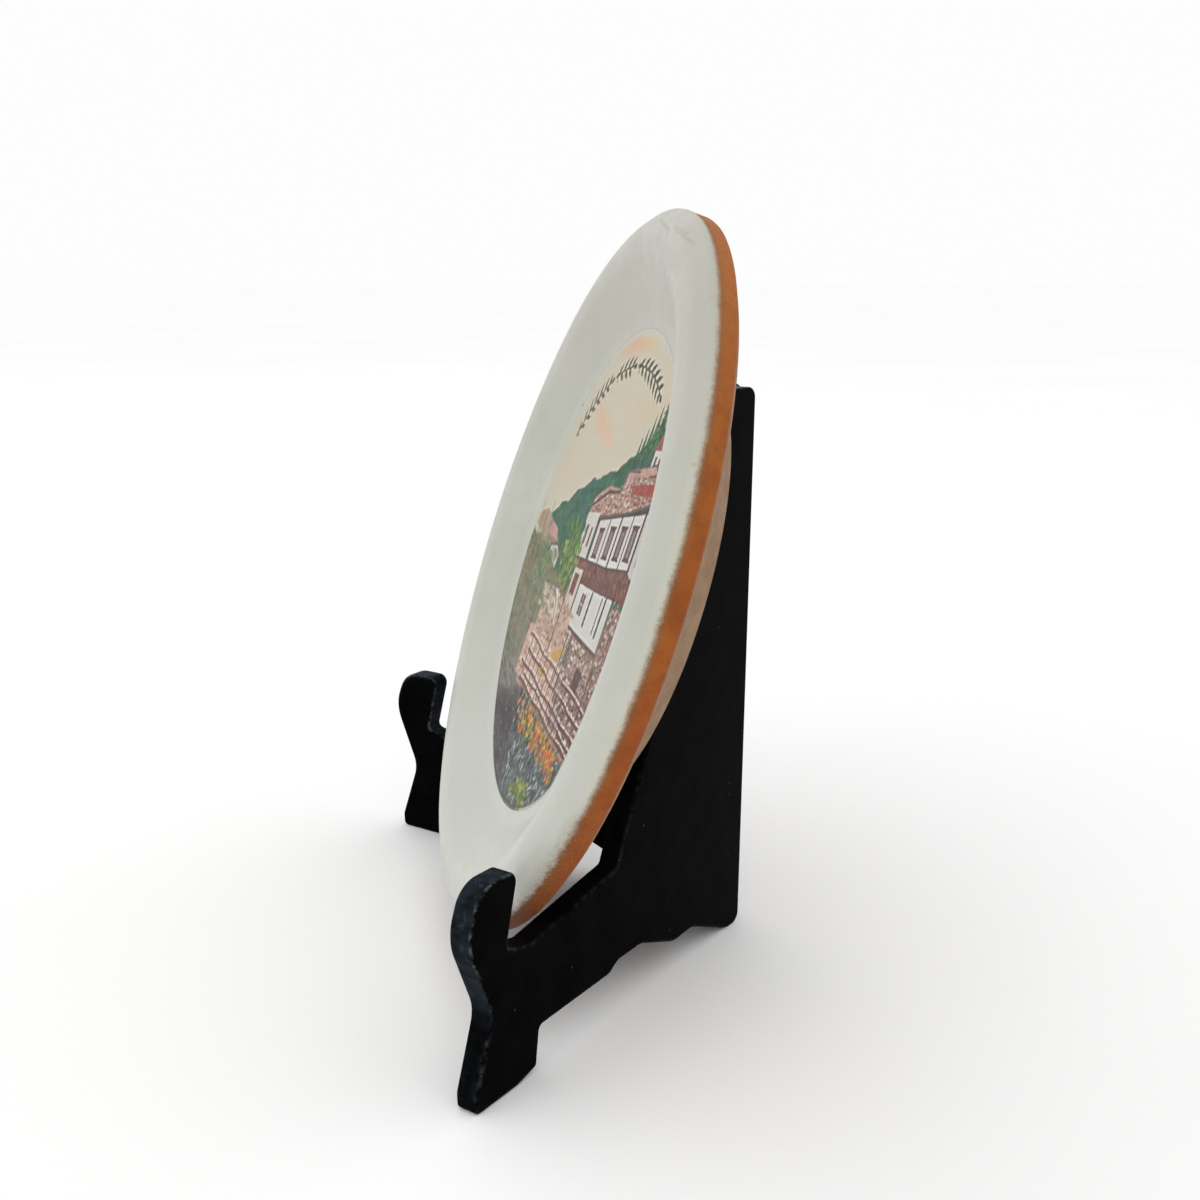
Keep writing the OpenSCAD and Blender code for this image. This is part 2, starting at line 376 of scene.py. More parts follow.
    # painted shade: the glaze is a little greyer towards the top of the rim, and painted light makes it paler towards
    # the bottom
    upright = t.node("ShaderNodeSeparateXYZ", {"Vector": p}).outputs["Y"]
    white = t.mix(t.ramp(upright, 15.0, 92.0, 0.0, 0.7), white, srgb(179, 177, 167))
    white = t.mix(t.ramp(upright, -5.0, -75.0, 0.0, 0.55), white, srgb(206, 207, 199))
    # brown marks where the rim has rubbed on the stand
    streaked = t.math("MULTIPLY", t.math("MULTIPLY", rubbed, t.ramp(edge, 0.1, 3.4, 1.0, 0.0)), t.ramp(t.noise(p, 0.9, 4, 0.75), 0.46, 0.60))
    white = t.mix(t.math("MULTIPLY", streaked, 0.5), white, srgb(138, 118, 94))
    # clay colour
    clay = t.mix(t.ramp(patch, 0.35, 0.65), srgb(136, 69, 17), srgb(156, 86, 25))
    clay = t.mix(t.ramp(broad, 0.42, 0.62, 0.0, 0.55), clay, srgb(146, 72, 22))
    # painted light: the clay band is paler and more ochre towards the top; painted shade: darker towards the bottom
    clay = t.mix(t.ramp(upright, 25.0, 95.0, 0.0, 0.65), clay, srgb(178, 108, 48))
    clay = t.mix(t.ramp(upright, -25.0, -85.0, 0.0, 0.6), clay, srgb(112, 60, 16))
    clay = t.mix(t.math("MULTIPLY", t.math("MULTIPLY", rubbed, t.ramp(fleck, 0.62, 0.70)), 0.7), clay, srgb(196, 174, 150))
    clay = t.mix(t.ramp(grain, 0.55, 0.8, 0.0, 0.5), clay, srgb(112, 60, 20))
    clay = t.mix(t.ramp(fleck, 0.62, 0.78, 0.0, 0.4), clay, srgb(178, 120, 72))
    dust = t.math("MULTIPLY", t.ramp(border, -2.3, -0.2, 0.0, 1.0), t.ramp(fleck, 0.4, 0.6, 0.5, 0.95))
    clay = t.mix(t.math("MULTIPLY", dust, 0.7), clay, srgb(118, 94, 64))
    # the back is washed with a thin pale slip
    slip = t.ramp(t.math("ADD", edge, t.math("MULTIPLY_ADD", grain, 0.7, -0.35)), -6.3, -7.1)
    back_colour = t.mix(t.ramp(patch, 0.35, 0.7), srgb(140, 112, 86), srgb(156, 126, 100))
    back_colour = t.mix(t.ramp(fleck, 0.5, 0.75, 0.0, 0.35), back_colour, srgb(146, 106, 78))
    clay = t.mix(slip, clay, back_colour)
    foot = t.math("MULTIPLY", t.ramp(edge, -51.5, -52.5), t.ramp(edge, -60.5, -59.5))
    clay = t.mix(t.math("MULTIPLY", foot, t.ramp(grain, 0.35, 0.6, 0.5, 0.9)), clay, srgb(138, 100, 72))
    t.put(t.shader.inputs["Base Color"], t.mix(1.0, t.mix(glaze, clay, white), (0.95, 0.95, 0.95), "MULTIPLY"))
    rough = t.ramp(patch, 0.3, 0.7, 0.30, 0.40)
    clay_rough = t.ramp(grain, 0.3, 0.7, 0.62, 0.8)
    n = t.node("ShaderNodeMix", data_type="FLOAT")
    t.put(n.inputs[0], glaze)
    t.put(n.inputs[2], clay_rough)
    t.put(n.inputs[3], rough)
    t.put(t.shader.inputs["Roughness"], n.outputs[0])
    t.shader.inputs["Specular IOR Level"].default_value = 0.26
    # surface: pulled glaze, grainy clay, a small step at the edge
    ripple = t.math("MULTIPLY", t.noise(p, 0.11, 2, 0.45), 0.30)
    clay_grain = t.math("MULTIPLY", t.math("SUBTRACT", 1.0, glaze), t.math("MULTIPLY_ADD", t.noise(p, 3.2, 4, 0.7), 0.16, -0.1))
    pits = t.math("MULTIPLY", specks, -0.06)
    height = t.math("ADD", t.math("ADD", ripple, clay_grain), t.math("MULTIPLY_ADD", glaze, 0.07, pits))
    t.put(t.shader.inputs["Normal"], t.bump(height, 0.55, MM))
    return t.material


# ---- the printed picture ----------------------------------------------
class Canvas:
    """A square of display colours that shapes are painted on, in millimetres."""

    def __init__(self, half, res):
        self.half, self.res = half, res
        n = int(2 * half * res)
        self.axis = (np.arange(n) + 0.5) / res - half
        self.c = np.zeros((n, n, 3))

    def window(self, x0, x1, y0, y1):
        n = len(self.axis)
        i0, i1 = [max(0, min(n, int((v + self.half) * self.res + d))) for v, d in ((x0, -1), (x1, 2))]
        j0, j1 = [max(0, min(n, int((v + self.half) * self.res + d))) for v, d in ((y0, -1), (y1, 2))]
        if i0 >= i1 or j0 >= j1:
            return None
        y, x = np.meshgrid(self.axis[j0:j1], self.axis[i0:i1], indexing="ij")
        return (slice(j0, j1), slice(i0, i1)), x, y

    def lay(self, where, alpha, colour):
        a = np.clip(alpha, 0, 1)[..., None]
        self.c[where] = self.c[where] * (1 - a) + np.asarray(colour, float) * a

    def shape(self, points, colour, soft=0.3, alpha=1.0, vary=0.0, seed=1, size=3.0):
        pts = np.array(points, float)
        w = self.window(pts[:, 0].min() - soft, pts[:, 0].max() + soft, pts[:, 1].min() - soft, pts[:, 1].max() + soft)
        if w is None:
            return
        where, x, y = w
        inside, best = np.zeros(x.shape, bool), np.full(x.shape, 1e9)
        for (ax, ay), (bx, by) in zip(pts, np.roll(pts, -1, 0)):
            dx, dy = bx - ax, by - ay
            t = np.clip(((x - ax) * dx + (y - ay) * dy) / max(dx * dx + dy * dy, 1e-9), 0, 1)
            best = np.minimum(best, np.hypot(x - ax - t * dx, y - ay - t * dy))
            if ay != by:
                inside ^= ((ay > y) != (by > y)) & (x < dx * (y - ay) / dy + ax)
        d = np.where(inside, -best, best)
        a = np.clip(0.5 - d / max(soft, 1e-6), 0, 1) * alpha
        col = np.asarray(colour, float)
        if vary:
            col = col * (1 + vary * (cloud(x, y, size, seed)[..., None] - 0.5) * 2)
        self.lay(where, a, col)

    def line(self, points, width, colour, soft=0.3, alpha=1.0, taper=False):
        for k, ((ax, ay), (bx, by)) in enumerate(zip(points, points[1:])):
            g = width + soft
            w = self.window(min(ax, bx) - g, max(ax, bx) + g, min(ay, by) - g, max(ay, by) + g)
            if w is None:
                continue
            where, x, y = w
            dx, dy = bx - ax, by - ay
            t = np.clip(((x - ax) * dx + (y - ay) * dy) / max(dx * dx + dy * dy, 1e-9), 0, 1)
            d = np.hypot(x - ax - t * dx, y - ay - t * dy)
            half = width / 2 * ((1 - t) if taper else 1.0)
            self.lay(where, np.clip(0.5 - (d - half) / soft, 0, 1) * alpha, colour)

    def blob(self, cx, cy, rx, ry, turn, colour, soft=0.35, alpha=1.0):
        g = max(rx, ry) * (1 + soft) + 0.3
        w = self.window(cx - g, cx + g, cy - g, cy + g)
        if w is None:
            return
        where, x, y = w
        c, s = math.cos(turn), math.sin(turn)
        u, v = (x - cx) * c + (y - cy) * s, -(x - cx) * s + (y - cy) * c
        d = np.hypot(u / rx, v / ry)
        self.lay(where, np.clip((1 - d) / soft + 0.5, 0, 1) * alpha, colour)


def interpolate(points, xs):
    return np.interp(xs, [p[0] for p in points], [p[1] for p in points])


def paint_village(half):
    """A made-up hillside village, in ink and watercolour."""
    cv = Canvas(half, 4.0)
    rng = np.random.default_rng(41)
    y, x = np.meshgrid(cv.axis, cv.axis, indexing="ij")
    # sky
    tone = cloud(x, y, 30, 3)[..., None]
    cv.c[:] = np.array([202, 193, 171]) * (1 - tone * 0.5) + np.array([206, 199, 182]) * tone * 0.5
    for cx, cy, rx, ry, turn, col, a in (
            (-14, 63.5, 19, 3.2, 0.12, (218, 178, 148), 0.8), (6, 66.5, 12, 2.4, 0.0, (214, 198, 142), 0.7),
            (-22, 39.5, 14, 3.0, -0.16, (219, 180, 150), 0.7), (-12, 35.5, 9, 2.2, -0.2, (219, 182, 158), 0.6),
            (38, 52, 14, 5, -0.9, (212, 190, 170), 0.5), (-40, 22, 16, 5, 0.2, (206, 190, 172), 0.4),
            (22, 47, 16, 3.5, 0.1, (206, 192, 162), 0.5)):
        cv.blob(cx, cy, rx, ry, turn, col, 1.2, a)
    # ground under everything below the skyline
    ground = np.array([150, 130, 114]) * (1 - tone) + np.array([122, 120, 92]) * tone
    cv.lay((slice(None), slice(None)), np.clip((2.0 + 0.05 * x - y) / 2.5, 0, 1), ground)
    # far hill
    ridge = [(-60, 5.5), (-52, 6.5), (-46, 8.6), (-40, 12.6), (-33, 14.0), (-26, 18.6), (-18, 20.6), (-11, 24.4),
             (-4, 25.2), (4, 28.4), (12, 30.0), (20, 34.8), (27, 36.8), (33, 40.6), (40, 43.0), (60, 46.0)]
    top = interpolate(ridge, x) + 1.1 * (cloud(x, y * 0 + 3, 3.0, 11, 2) - 0.5)
    a = np.clip((top - y) / 0.5, 0, 1) * np.clip((y + 6) / 2, 0, 1) * np.clip((x + 50) / 2.0, 0, 1)
    shade = cloud(x * 0.5 - y * 0.8, y * 0.6 + x * 0.4, 5, 19)[..., None]
    hill = np.array([47, 118, 101]) * (1 - shade) + np.array([38, 100, 74]) * shade
    blue = np.clip(cloud(x, y, 9, 29)[..., None] * 2.4 - 1.1, 0, 1)
    hill = hill * (1 - 0.6 * blue) + np.array([52, 112, 124]) * 0.6 * blue
    cv.lay((slice(None), slice(None)), a, hill)
    for k in range(150):
        px = rng.uniform(-46, 50)
        py = interpolate(ridge, px) - rng.uniform(0.3, 14)
        if py < 0:
            continue
        dark = rng.random() < 0.6
        cv.blob(px, py, rng.uniform(0.8, 2.4), rng.uniform(0.4, 1.0), rng.uniform(0.1, 0.7),
                (28, 84, 66) if dark else (74, 138, 92), 0.8, rng.uniform(0.3, 0.7))
    # firs on the hill
    for px, base, tall, wide in ((44.6, 41, 12.0, 8.5), (40.2, 40, 16.5, 9.5), (36.0, 39.5, 10.5, 5.6), (49.2, 41, 9, 6.5), (32.6, 38, 8.6, 4.6), (29.2, 36.6, 6.2, 3.6), (26.0, 35.2, 4.4, 3.0)):
        cv.line([(px, base - 3), (px, base + 2)], 0.7, (52, 46, 40))
        cv.shape([(px - wide * 0.40, base), (px - wide * 0.1, base + tall * 0.55), (px, base + tall), (px + wide * 0.1, base + tall * 0.55), (px + wide * 0.40, base)], (34, 92, 58), 0.4, 0.95, 0.2, 70, 1.6)
        for k in range(9):
            f = k / 9
            yy = base + tall * f
            ww = wide * (1 - f) / 2 + 0.4
            cv.shape([(px - ww, yy - 0.9), (px - ww * 0.3, yy + 0.7), (px, yy + tall / 9 + 1.4), (px + ww * 0.3, yy + 0.7), (px + ww, yy - 0.9), (px, yy - 0.1)],
                     (28, 82, 52) if k % 2 else (48, 122, 72), 0.4, 0.9, 0.18, 60 + k, 1.5)
        for k in range(14):
            f = rng.random() * 0.85
            cv.line([(px + rng.uniform(-0.3, 0.3) * wide * (1 - f), base + tall * f), (px + rng.uniform(-0.4, 0.4) * wide * (1 - f), base + tall * f + rng.uniform(1.0, 2.4))],
                    0.4, (18, 54, 38) if k % 2 else (96, 152, 96), 0.3, 0.7)
    # small upper house
    cv.shape([(41.5, 33), (41.5, 39.5), (53.5, 41), (53.5, 33)], (206, 198, 190))
    cv.shape([(39.6, 39.2), (43, 43.4), (52, 44.6), (56, 41)], (150, 108, 92), 0.3, 1, 0.18, 6, 1.2)
    for px in (44.0, 47.6, 51.0):
        cv.shape([(px - 0.8, 35.3), (px - 0.8, 38), (px + 0.8, 38.2), (px + 0.8, 35.4)], (86, 70, 66))
    cv.line([(40.8, 34), (54, 36.4)], 0.9, (178, 122, 66))
    cv.line([(36, 33.2), (46, 36), (56, 33.8)], 0.8, (84, 72, 70))
    # long tiled roof over the main house, three runs
    cv.shape([(-4, 14.6), (-1.5, 20.5), (10, 25.5), (22, 26), (23.5, 31.8), (30, 32.8), (47, 36.2), (56.5, 30), (62, 23.5), (12, 14.2), (9, 16.5)],
             (176, 146, 134), 0.4, 1, 0.2, 8, 2.0)
    for k in range(520):
        px, f = rng.uniform(-2, 60), rng.random()
        lo, hi = 15.5 + 0.235 * max(px - 8, 0), 20.5 + 0.30 * px
        py = lo + (hi - lo) * f
        if py > 36 or py - lo > 12:
            continue
        col = [(120, 84, 76), (222, 214, 206), (196, 150, 128), (92, 70, 66), (170, 100, 80)][rng.integers(5)]
        cv.shape([(px, py), (px + 1.5, py + 0.3), (px + 1.5, py + 0.75), (px, py + 0.5)], col, 0.3, rng.uniform(0.4, 0.9))
    cv.shape([(31, 28.6), (51, 32.2), (55, 30.2), (53, 29), (33, 26.8)], (166, 76, 62), 0.4, 0.9, 0.2, 9, 2)
    for px in np.arange(33, 54, 2.1):
        cv.line([(px, 27.2), (px + 0.6, 31)], 0.3, (110, 50, 46), alpha=0.7)
    cv.line([(-3, 17.6), (11, 23.8), (21, 25.4)], 0.9, (92, 74, 72))
    cv.line([(22, 25.5), (24, 31.5), (34, 32.8)], 0.7, (112, 98, 94))
    cv.line([(7, 15.2), (20, 17.8), (36, 21.4), (52, 26.2), (57, 25.4)], 2.2, (80, 72, 74), 0.35)
    cv.line([(7, 15.9), (20, 18.5), (36, 22.1), (52, 26.9)], 0.5, (132, 120, 118), 0.3, 0.8)
    # side gable of the main house
    cv.shape([(-4, 3), (-4, 15.4), (8.6, 17.5), (8.6, 3)], (205, 199, 190), 0.3, 1, 0.04, 5, 5)
    for px, w in ((0.2, 2.2), (5.2, 1.8)):
        cv.shape([(px - w / 2, 7), (px - w / 2, 12.4), (px + w / 2, 12.8), (px + w / 2, 7.2)], (86, 62, 60))
        cv.line([(px, 7), (px, 12.6)], 0.3, (190, 176, 166))
    # upper storey: pale walls between dark posts
    cv.shape([(10.6, 2.2), (10.6, 15.6), (32, 20.4), (51.6, 24.6), (51.6, 7.8), (32, 4.8)], (206, 202, 195), 0.3, 1, 0.04, 6, 6)
    cv.shape([(52.4, 8), (52.4, 25), (58.6, 23.6), (60.0, 10)], (196, 190, 186), 0.3, 1, 0.04, 6, 6)
    for px, w, lo, hi in ((10.6, 1.3, 2, 15.6), (21.6, 0.8, 3.6, 18.0), (32.0, 1.3, 4.8, 20.6), (42.2, 0.8, 6.4, 22.6), (51.9, 1.5, 7.8, 24.8), (58.9, 1.2, 10, 22.4)):
        cv.line([(px, lo), (px, hi)], w, (74, 56, 56), 0.3)
        cv.line([(px + w * 0.4, lo), (px + w * 0.4, hi)], 0.25, (140, 112, 104), 0.3, 0.7)
    for px, w, lo, hi in ((16.2, 4.4, 6.2, 13.6), (26.8, 4.8, 8.0, 16.0), (37.2, 5.0, 9.8, 18.0), (46.9, 5.0, 11.6, 20.0)):
        cv.shape([(px - w / 2, lo), (px - w / 2, hi), (px + w / 2, hi + 0.8), (px + w / 2, lo + 0.6)], (118, 74, 64), 0.3, 1, 0.15, 12, 1.0)
        cv.shape([(px - 0.9, lo + 0.9), (px - 0.9, hi - 0.6), (px + 0.9, hi - 0.3), (px + 0.9, lo + 1.1)], (150, 146, 150), 0.3)
        cv.line([(px, lo + 0.9), (px, hi - 0.4)], 0.3, (70, 52, 50))
        cv.line([(px - w / 2 - 0.3, lo - 0.2), (px + w / 2 + 0.3, lo + 0.5)], 0.5, (84, 62, 60))
        cv.line([(px - w / 2 - 0.3, hi + 0.2), (px + w / 2 + 0.3, hi + 1.1)], 0.6, (84, 62, 60))
    cv.shape([(56.0, 12), (55.6, 20.4), (57.4, 20.2), (58, 12)], (126, 84, 80))
    # jettied floor: shingled band under the upper storey
    cv.shape([(-4.5, 0.6), (-4.5, 2.4), (10, 4.0), (32, 6.4), (52, 10.0), (60.6, 7.6), (60.6, 2.0), (52, 2.4), (32, -0.4), (12, -2.4)],
             (126, 86, 76), 0.35, 1, 0.16, 14, 1.3)
    for k in range(260):
        px = rng.uniform(-3, 59)
        mid = 1.4 + 0.095 * px + max(0, px - 32) * 0.02
        py = mid + rng.uniform(-2.6, 2.4) * min(1, 0.35 + max(px, 0) / 40)
        cv.line([(px, py), (px + 0.5, py - 1.0)], 0.35, [(92, 58, 54), (170, 128, 114), (108, 70, 62)][rng.integers(3)], 0.3, 0.8)
    cv.line([(-4.5, 2.6), (10, 4.2), (32, 6.6), (52, 10.2)], 0.5, (84, 56, 54))
    cv.line([(12, -2.4), (32, -0.5), (52, 2.2)], 0.9, (90, 64, 64))
    # lower storey
    cv.shape([(1.0, -18), (1.0, 0.4), (10.6, 1.4), (10.6, -19)], (200, 186, 174), 0.3, 1, 0.1, 15, 2)
    cv.shape([(3.0, -6.8), (3.0, -0.8), (8.0, -0.4), (8.0, -6.6)], (134, 82, 72), 0.3, 1, 0.2, 16, 1)
    cv.shape([(12, -13.6), (12, -2.0), (32, -0.2), (47.4, 1.6), (47.4, -12.4)], (207, 205, 198), 0.3, 1, 0.03, 17, 6)
    for px, w, lo, hi in ((11.4, 1.2, -16, 0.6), (27.6, 1.6, -9.8, -1.6), (38.4, 0.9, -9.4, -0.2), (41.8, 1.6, -9.2, 0.2)):
        cv.line([(px, lo), (px, hi)], w, (82, 64, 62), 0.3)
    cv.shape([(17.8, -9.2), (17.8, -3.4), (22.2, -3.1), (22.2, -9.0)], (122, 90, 82), 0.3)
    cv.line([(20, -9.1), (20, -3.2)], 0.4, (198, 190, 182))
    cv.line([(17.6, -6.2), (22.4, -6.0)], 0.35, (198, 190, 182))
    cv.line([(12, -13.8), (30, -13.6), (47.6, -12.8)], 0.9, (120, 80, 74))
    # stone walls: courses of small pale and brown blocks
    def stones(box, base, count, w, h, cols, slope=0.0):
        x0, x1, y0, y1 = box
        cv.shape([(x0, y0 + slope * x0), (x0, y1 + slope * x0), (x1, y1 + slope * x1), (x1, y0 + slope * x1)], base, 0.4, 1, 0.15, 21, 2.0)
        for _ in range(count):
            px, py = rng.uniform(x0, x1), rng.uniform(y0, y1)
            py = y0 + round((py - y0) / (h * 1.15)) * h * 1.15 + slope * px
            ww, hh = w * rng.uniform(0.6, 1.3), h * rng.uniform(0.6, 1.0)
            col = cols[rng.integers(len(cols))]
            cv.shape([(px, py), (px + ww, py), (px + ww, py + hh), (px, py + hh)], col, 0.3, rng.uniform(0.6, 1.0))
    pale = [(214, 206, 196), (206, 184, 172), (186, 160, 150), (150, 128, 118), (98, 78, 74), (120, 96, 90)]
    stones((14, 49, -26, -14.6), (158, 132, 122), 520, 1.5, 0.95, pale)
    stones((49, 69, -38, 1.2), (150, 122, 112), 620, 1.4, 0.9, pale + [(110, 112, 108)])
    stones((22, 66, -39.5, -26), (146, 118, 110), 640, 1.5, 0.95, pale + [(84, 68, 66)])
    stones((1, 14, -24, -17), (176, 146, 128), 90, 1.5, 0.9, pale)
    cv.shape([(35.5, -25), (35.5, -19.4), (42.5, -19), (42.5, -25)], (92, 74, 72), 0.5, 0.85, 0.2, 31, 1)
    cv.shape([(19, -23), (19, -17.6), (24, -17.4), (24, -23)], (118, 116, 112), 0.5, 0.8, 0.2, 32, 1)
    # trees in the middle
    for _ in range(300):
        px, py = rng.normal(-10.5, 5.2), rng.normal(2.4, 5.2)
        if py < -8 or py > 12 or px > 0.5 and py > 3:
            continue
        col = [(132, 152, 66), (98, 136, 62), (66, 118, 70), (160, 172, 92), (54, 98, 60), (112, 144, 78)][rng.integers(6)]
        cv.blob(px, py, rng.uniform(0.6, 1.9), rng.uniform(0.5, 1.2), rng.uniform(0.6, 2.2), col, 0.5, rng.uniform(0.5, 0.9))
    for _ in range(26):
        px, py = rng.uniform(-17, -2), rng.uniform(-6, 6)
        cv.line([(px, py), (px + rng.uniform(-0.8, 0.8), py + rng.uniform(1.2, 3.2))], 0.35, (84, 74, 52), 0.3, 0.6)
    # distant roofs at the far left
    cv.shape([(-66, 1), (-64, 5.2), (-55, 7.6), (-44, 5.6), (-36, 5.0), (-28, 1.0), (-44, -2.2)], (166, 146, 124), 0.8, 0.9, 0.16, 33, 3)
    cv.shape([(-47, 1.2), (-43, 5.4), (-34, 4.6), (-31, 1.6)], (196, 152, 144), 0.8, 0.85, 0.1, 34, 2)
    cv.line([(-50, 6.6), (-49.6, 10.6)], 0.5, (122, 128, 120), 0.4)
    cv.line([(-64, 6.0), (-63.8, 9.0)], 0.8, (150, 150, 140), 0.6, 0.7)
    cv.shape([(-36, -4), (-36, -0.6), (-28, 0.6), (-23.4, -1.2), (-23.4, -5.4)], (206, 202, 196), 0.4)
    cv.line([(-38, -0.8), (-28, 1.6), (-22, -1.4), (-22.4, -6)], 0.8, (112, 104, 104), 0.4)
    # hedge and undergrowth on the left
    for _ in range(1500):
        px, py = rng.uniform(-68, -20), rng.uniform(-50, 1)
        if py > -1 - 0.06 * (px + 68) and rng.random() < 0.8:
            continue
        if px > -24 - 0.10 * (py + 50) + 3:
            continue
        f = np.clip((-py) / 48, 0, 1)
        near = [(136, 132, 102), (114, 130, 98), (156, 142, 114), (98, 120, 92), (148, 136, 112)]
        far = [(146, 140, 130), (134, 138, 128), (156, 148, 138), (122, 126, 118), (140, 132, 130)]
        col = (near if rng.random() > f else far)[rng.integers(5)]
        cv.blob(px, py, rng.uniform(1.0, 4.2), rng.uniform(0.5, 1.5), rng.uniform(-0.25, 0.25), col, 0.8, rng.uniform(0.35, 0.75))
    for _ in range(60):
        px, py = rng.uniform(-46, -28), rng.uniform(-12, -2)
        cv.blob(px, py, rng.uniform(0.8, 2.2), rng.uniform(0.5, 1.2), rng.uniform(-0.5, 0.5), [(74, 128, 88), (86, 136, 96), (150, 158, 110)][rng.integers(3)], 0.7, 0.55)
    more = np.random.default_rng(77)
    for _ in range(900):
        px, py = more.uniform(-67, -22), more.uniform(-42, -1)
        if px > -26 - 0.10 * (py + 50) or py > -2 - 0.06 * (px + 67):
            continue
        an, ln = more.uniform(0.9, 2.2), more.uniform(0.9, 2.4)
        f = min(1.0, -py / 44)
        leaf = [(104, 118, 82), (168, 162, 128), (88, 110, 78), (142, 152, 108), (168, 144, 116), (80, 94, 74)][more.integers(6)]
        dull = [(122, 124, 114), (162, 156, 142), (102, 108, 102), (140, 136, 128), (154, 142, 132), (110, 118, 110)][more.integers(6)]
        col = tuple(leaf[i] * (1 - f) + dull[i] * f for i in range(3))
        cv.line([(px, py), (px + ln * math.cos(an), py + ln * math.sin(an))], more.uniform(0.4, 0.8), col, 0.35, more.uniform(0.35, 0.75), True)
    for px, py, tall in ((-60, -12, 7), (-52, -14, 9), (-43, -10, 8), (-36, -16, 10), (-48, -26, 8), (-31, -28, 7)):
        cv.line([(px, py), (px + 0.6, py + tall * 0.6), (px + 0.2, py + tall)], 0.55, (86, 74, 60), 0.4, 0.6)
        for side_ in (-1, 1, -1, 1):
            fy = more.uniform(0.35, 0.9)
            cv.line([(px + 0.4, py + tall * fy), (px + side_ * more.uniform(1.4, 2.8), py + tall * fy + more.uniform(0.8, 2.0))], 0.35, (86, 74, 60), 0.35, 0.55, True)
    # terrace walls and steps climbing from the lane
    stones((-24, 14, -24, -10), (184, 156, 138), 260, 2.4, 1.1, [(206, 188, 168), (190, 158, 140), (166, 134, 116), (204, 170, 150), (146, 122, 108)])
    stones((-30, 22, -39.5, -24), (196, 164, 150), 300, 2.8, 1.2, [(212, 196, 182), (204, 168, 154), (188, 146, 132), (218, 206, 190), (160, 124, 112)])
    for px, py, rx in ((12, -22.6, 5.5), (7.5, -25.2, 4.5), (2, -30.4, 5.5), (16.5, -20.6, 2.6)):
        cv.blob(px, py, rx, 1.3, 0.12, (196, 162, 84), 0.8, 0.8)
    for _ in range(70):
        px, py = rng.uniform(-27, -8), rng.uniform(-17, -8)
        cv.blob(px, py, rng.uniform(0.8, 2.6), rng.uniform(0.4, 0.9), 0, [(150, 150, 130), (210, 200, 184), (120, 124, 104), (170, 164, 148)][rng.integers(4)], 0.6, 0.6)
    cv.shape([(-13, -9), (-9, -8.6), (-4, -13.6), (-3, -18), (-7, -16)], (208, 202, 190), 0.4, 0.9)
    cv.line([(-14, -9.6), (-8, -12), (-4.5, -17)], 0.6, (120, 92, 80), 0.4, 0.8)
    cv.line([(0.6, -24), (0.6, -9.6)], 1.0, (96, 74, 68), 0.4, 0.8)
    # railings along the terraces
    for py, w, x0, x1 in ((-26.2, 0.8, -25, 56), (-30.2, 0.9, -22, 57), (-34.6, 1.0, -26, 58), (-36.8, 0.8, -18, 57), (-39.2, 0.9, -22, 57)):
        xs = np.linspace(x0, x1, 24)
        ys = py + 0.35 * np.sin(xs * 0.21 + py) + rng.normal(0, 0.08, 24)
        cv.line(list(zip(xs, ys)), w, (124, 76, 70), 0.35, 0.9)
        cv.line(list(zip(xs, ys + w * 0.9)), 0.5, (226, 212, 198), 0.3, 0.85)
    for px in np.arange(-21, 56, 5.9):
        cv.line([(px, -40), (px + 0.3, -25.6)], 0.75, (98, 66, 62), 0.35, 0.85)
    for px in (16.6, 21.4, 50.2):
        cv.line([(px, -30), (px + 0.2, -15)], 0.8, (86, 66, 64), 0.35, 0.8)
    cv.line([(-26, -40.6), (10, -40.9), (56, -40.2)], 1.2, (190, 150, 132), 0.5, 0.9)
    # lane and stream bank at the lower left
    bank = (cloud(x, y, 7, 51)[..., None])
    low = np.array([112, 106, 106]) * (1 - bank) + np.array([92, 90, 92]) * bank
    a = np.clip((-40.5 - y + 0.30 * (x + 20)) / 4.0, 0, 1) * np.clip((-6 - x - 0.45 * (y + 50)) / 2.0, 0, 1)
    cv.lay((slice(None), slice(None)), a * 0.92, low)
    a = np.clip((-46 - y) / 5.0, 0, 1) * np.clip((-9 - x - 0.45 * (y + 50)) / 2.0, 0, 1) * np.clip((x + 42) / 8, 0, 1)
    cv.lay((slice(None), slice(None)), a * 0.6, np.array([82, 80, 94]))
    for _ in range(160):
        px, py = rng.uniform(-52, -6), rng.uniform(-66, -40)
        if px > -9 - 0.45 * (py + 50):
            continue
        cv.blob(px, py, rng.uniform(1.2, 4.5), rng.uniform(0.25, 0.6), -0.25, [(128, 124, 120), (84, 84, 92), (104, 100, 108)][rng.integers(3)], 0.8, 0.5)
    for _ in range(130):
        px, py = more.uniform(-54, -8), more.uniform(-66, -43)
        if px > -11 - 0.45 * (py + 50):
            continue
        ww, hh = more.uniform(0.9, 2.4), more.uniform(0.4, 0.8)
        cv.shape([(px, py), (px + ww * 0.5, py + hh), (px + ww, py + hh * 0.3), (px + ww * 0.6, py - hh * 0.5)],
                 [(142, 138, 134), (96, 94, 100), (120, 116, 118), (158, 150, 142)][more.integers(4)], 0.35, more.uniform(0.4, 0.75))
    cv.line([(-15, -43), (-11, -52), (-4, -62), (0, -66)], 0.9, (160, 156, 150), 0.6, 0.9)
